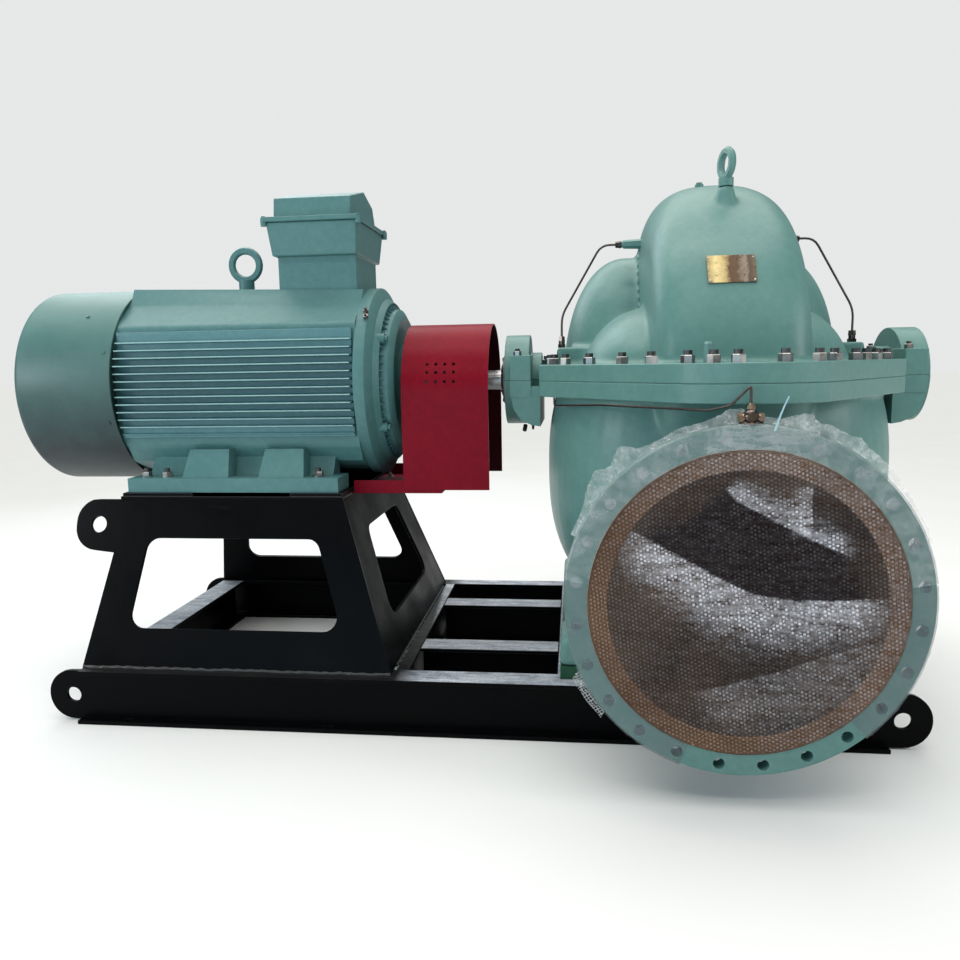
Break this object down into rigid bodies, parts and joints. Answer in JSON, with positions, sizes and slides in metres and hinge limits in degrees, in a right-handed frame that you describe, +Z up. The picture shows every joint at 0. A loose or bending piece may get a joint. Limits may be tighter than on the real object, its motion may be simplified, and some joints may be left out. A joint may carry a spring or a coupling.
{
  "type": "split case centrifugal pump",
  "caption": "Horizontal split case centrifugal pump coupled to its electric motor on a welded base frame, with a flanged suction and discharge.",
  "frame": {"origin": "on the floor under the middle of the whole set's outline", "axes": "+X along the shaft from the motor to the pump's outer bearing, +Y from the suction side to the discharge side, +Z up"},
  "size_m": [3.056, 1.892, 1.7645],
  "materials": {
    "green_paint": "satin machine paint on a casting",
    "motor_green_paint": "satin machine paint on cast iron",
    "black_paint": "gloss black paint on welded steel, worn grey on the top faces",
    "red_paint": "satin crimson paint on sheet steel",
    "dark_green_pad": "dark green paint on a machined pad",
    "bright_steel": "machined steel",
    "dark_steel": "dark oiled steel",
    "brassy_plate": "thin polished plate, bare",
    "bubble_wrap": "clear bubble film over a dark opening"
  },
  "bodies": {
    "frame": {"base_front_rail": "black_paint", "base_rear_rail": "black_paint", "base_left_end_beam": "black_paint", "base_right_end_beam": "black_paint", "base_left_cross_beam": "black_paint", "base_right_cross_beam": "black_paint", "base_front_stringer": "black_paint", "base_rear_stringer": "black_paint", "stand_front_plate": "black_paint", "stand_rear_plate": "black_paint", "stand_right_plate": "black_paint", "stand_top_plate": "black_paint", "motor_frame": "motor_green_paint", "fan_cover": "motor_green_paint", "motor_end_shield": "motor_green_paint", "terminal_box": "motor_green_paint", "terminal_lid": "motor_green_paint", "motor_lifting_eye": "motor_green_paint", "coupling_guard": "red_paint", "guard_bracket": "red_paint", "upper_casing": "green_paint", "lower_casing": "green_paint", "drive_bearing_housing": "green_paint", "drive_bearing_cap": "green_paint", "drive_bearing_cover": "dark_steel", "outer_bearing_housing": "green_paint", "outer_bearing_cap": "green_paint", "pump_lifting_eye": "green_paint", "nameplate": "brassy_plate", "left_foot_pad": "dark_green_pad", "right_foot_pad": "dark_green_pad", "left_flush_tube": "dark_steel", "right_flush_tube": "dark_steel", "suction_wrap": "bubble_wrap", "motor_front_fins": "motor_green_paint", "motor_rear_fins": "motor_green_paint", "suction_neck": "green_paint", "suction_flange": "green_paint", "discharge_neck": "green_paint", "discharge_flange": "green_paint", "vent_fitting": "bright_steel", "front_seal_tube": "dark_steel"},
    "rotor": {"motor_shaft": "bright_steel", "motor_coupling_half": "dark_steel", "pump_coupling_half": "dark_steel", "pump_shaft": "bright_steel"}
  },
  "joints": [
    {"name": "rotor_spin", "type": "hinge", "parent": "frame", "child": "rotor", "pos_m": [-0.045, 0, 1.08], "axis": [1, 0, 0], "continuous": true}
  ]
}
